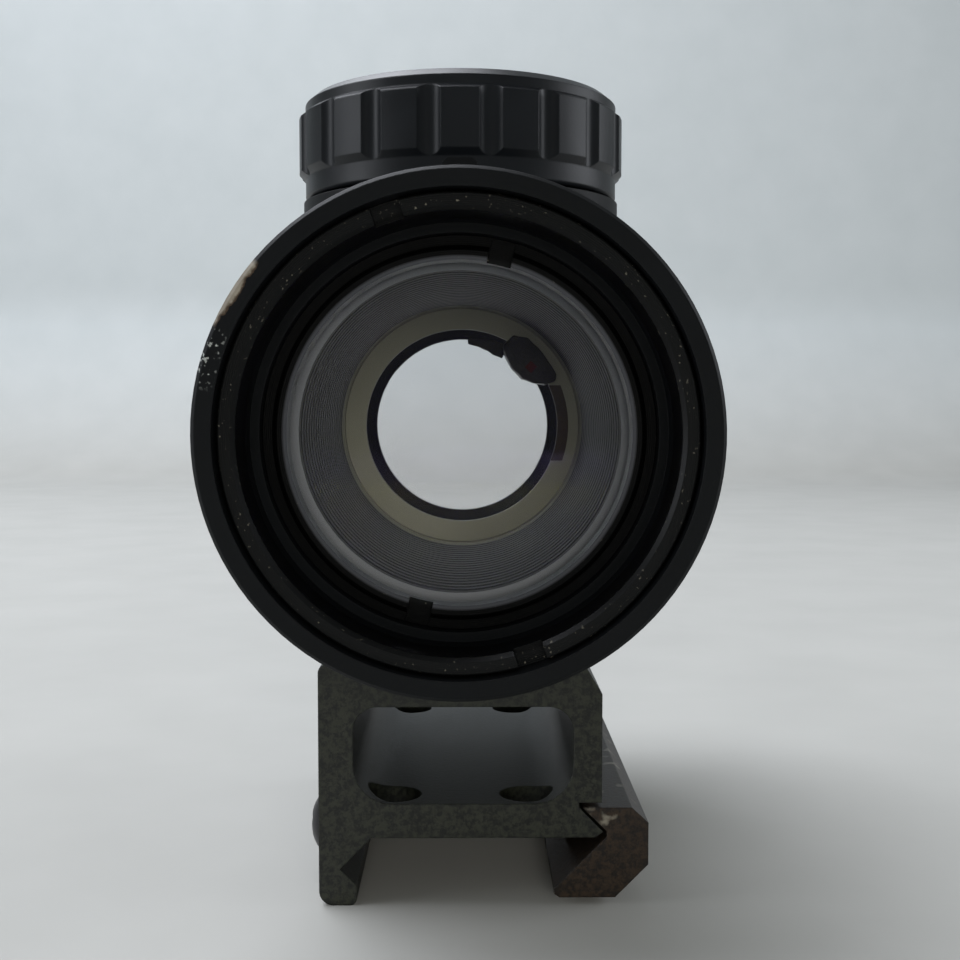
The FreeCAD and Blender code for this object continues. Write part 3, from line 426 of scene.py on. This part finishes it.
flex, tree, shader = new_material("polyimide_flex_lead")
spot = add(tree, "TexCoord").outputs["Object"]
tint = add(tree, "TexNoise", {"Vector": spot, "Scale": 1200, "Detail": 4}).outputs["Fac"]
add(tree, shader, {"Base Color": add(tree, "MixRGB", {0: tint, 1: "#1c150b", 2: "#3c2c14"}),
                   "Roughness": 0.4})
finish("emitter_lead", flex)

# ------------------------------------------------------------------ brightness dial
# A fluted aluminium knob over the turret, with the battery cap screwed into its top. Turned,
# milled and anodised like the housing, with hands wearing the lands a little smoother.

worn_anodised, tree, shader = new_material("handled_anodised_dial")
spot = add(tree, "TexCoord").outputs["Object"]
cloud = add(tree, "TexNoise", {"Vector": spot, "Scale": 160, "Detail": 6}).outputs["Fac"]
add(tree, shader, {"Base Color": add(tree, "MixRGB", {0: cloud, 1: "#090b0e", 2: "#121519"}),
                   "Specular IOR Level": 0.26,
                   "Roughness": add(tree, "MapRange", {"Value": cloud, 3: 0.3, 4: 0.48}).outputs[0],
                   "Normal": grain(tree, spot, 0.0002, 0.000008, 0.0002)})
for node in ("brightness_dial", "battery_cap", "elevation_cap", "windage_cap"):
    finish(node, worn_anodised)

# ------------------------------------------------------------------ works inside the turret
# Steel springs, ball, ring and cell, brass screws and the fibreglass board that carries the
# contact. They are hidden until the cap is off.

steel, tree, shader = new_material("bright_spring_steel")
spot = add(tree, "TexCoord").outputs["Object"]
cloud = add(tree, "TexNoise", {"Vector": spot, "Scale": 400, "Detail": 5}).outputs["Fac"]
add(tree, shader, {"Base Color": add(tree, "MixRGB", {0: cloud, 1: "#8d9093", 2: "#b9bbbd"}),
                   "Metallic": 1.0,
                   "Roughness": add(tree, "MapRange", {"Value": cloud, 3: 0.2, 4: 0.38}).outputs[0],
                   "Normal": add(tree, "Bevel", {"Radius": 0.0001}, samples=4)})
for node in ("return_spring", "dial_retaining_ring", "detent_ball", "detent_spring", "battery_contact"):
    finish(node, steel)

nickel, tree, shader = new_material("nickel_plated_cell_can")
spot = add(tree, "TexCoord").outputs["Object"]
brushed = add(tree, "Mapping", {"Vector": spot, "Scale": (1, 30, 30)}).outputs[0]
streak = add(tree, "TexNoise", {"Vector": brushed, "Scale": 300, "Detail": 4}).outputs["Fac"]
add(tree, shader, {"Base Color": add(tree, "MixRGB", {0: streak, 1: "#a9abab", 2: "#cfd0cf"}),
                   "Metallic": 1.0,
                   "Roughness": add(tree, "MapRange", {"Value": streak, 3: 0.18, 4: 0.32}).outputs[0],
                   "Normal": add(tree, "Bevel", {"Radius": 0.00015}, samples=4)})
finish("battery_cell", nickel)

brass, tree, shader = new_material("turned_brass")
spot = add(tree, "TexCoord").outputs["Object"]
cloud = add(tree, "TexNoise", {"Vector": spot, "Scale": 500, "Detail": 5}).outputs["Fac"]
add(tree, shader, {"Base Color": add(tree, "MixRGB", {0: cloud, 1: "#8c6f35", 2: "#c4a160"}),
                   "Metallic": 1.0,
                   "Roughness": add(tree, "MapRange", {"Value": cloud, 3: 0.25, 4: 0.42}).outputs[0],
                   "Normal": add(tree, "Bevel", {"Radius": 0.0001}, samples=4)})
for node in ("elevation_adjuster", "elevation_plunger", "windage_adjuster", "windage_plunger"):
    finish(node, brass)

board, tree, shader = new_material("solder_masked_fibreglass")
spot = add(tree, "TexCoord").outputs["Object"]
cells = add(tree, "TexVoronoi", {"Vector": spot, "Scale": 900}).outputs["Distance"]
add(tree, shader, {"Base Color": add(tree, "MixRGB", {0: cells, 1: "#0f3a22", 2: "#1d5a36"}),
                   "Roughness": 0.3, "Normal": grain(tree, spot, 0.0002, 0.000006, 0.00008)})
finish("circuit_board", board)

# ------------------------------------------------------------------ riser and rail jaw
# A milled aluminium riser with a clamp jaw, both bead-blasted before a thin dark olive coat, so
# their faces show a coarse, sparkling grain. The jaw came from another batch and is browner.


def blasted(name, low, high, pale, scratch):
    """Bead-blasted, coated aluminium: coarse grain in colour and height, with rubbed pale marks."""
    material, tree, shader = new_material(name)
    spot = add(tree, "TexCoord").outputs["Object"]
    pits = add(tree, "TexNoise", {"Vector": spot, "Scale": 2300, "Detail": 4, "Roughness": 0.7})
    pits = pits.outputs["Fac"]
    cloud = add(tree, "TexNoise", {"Vector": spot, "Scale": 150, "Detail": 4}).outputs["Fac"]
    speck = add(tree, "MapRange", {"Value": pits, 1: 0.42, 2: 0.58}).outputs[0]
    grit = add(tree, "Math", {0: speck, 1: 0.8}, operation="MULTIPLY")
    drift = add(tree, "Math", {0: cloud, 1: 0.2}, operation="MULTIPLY")
    share = add(tree, "Math", {0: grit, 1: drift}, operation="ADD")
    colour = add(tree, "MixRGB", {0: share, 1: low, 2: high})
    rub = add(tree, "TexNoise", {"Vector": spot, "Scale": 420, "Detail": 6}).outputs["Fac"]
    level = add(tree, "SeparateXYZ", {0: spot}).outputs["Z"]
    ledge = between(tree, level, -0.0012, 0.0032, 0.0003)
    patch = add(tree, "MapRange", {"Value": rub, 1: 0.60, 2: 0.70, 4: scratch}).outputs[0]
    rubbed = add(tree, "Math", {0: patch, 1: ledge}, operation="MULTIPLY")
    bump = add(tree, "Bump", {"Height": pits, "Distance": 0.00004,
                              "Normal": add(tree, "Bevel", {"Radius": 0.00022}, samples=4)})
    add(tree, shader, {"Base Color": add(tree, "MixRGB", {0: rubbed, 1: colour, 2: pale}),
                       "Roughness": add(tree, "MapRange", {"Value": pits, 3: 0.42, 4: 0.62}).outputs[0],
                       "Normal": bump.outputs["Normal"]})
    return material


finish("riser", blasted("blasted_olive_aluminium", "#060705", "#25271f", "#6b6a5e", 0.0))
finish("rail_jaw", blasted("blasted_brown_aluminium", "#0b0704", "#291f15", "#8a867a", 0.7))

# ------------------------------------------------------------------ screws and bolts
# Alloy steel socket screws and the two cross bolts with their washers, all chemically blackened:
# a thin dark film over steel, smooth and a little oily, worn brighter at its edges.

blackened, tree, shader = new_material("oiled_black_oxide_steel")
spot = add(tree, "TexCoord").outputs["Object"]
cloud = add(tree, "TexNoise", {"Vector": spot, "Scale": 600, "Detail": 5}).outputs["Fac"]
add(tree, shader, {"Base Color": add(tree, "MixRGB", {0: cloud, 1: "#1b1b1b", 2: "#38373a"}),
                   "Metallic": 0.85,
                   "Roughness": add(tree, "MapRange", {"Value": cloud, 3: 0.3, 4: 0.5}).outputs[0],
                   "Normal": add(tree, "Bevel", {"Radius": 0.00015}, samples=4)})
for node in ("mount_screws", "front_cross_bolt", "rear_cross_bolt", "bolt_washers"):
    finish(node, blackened)
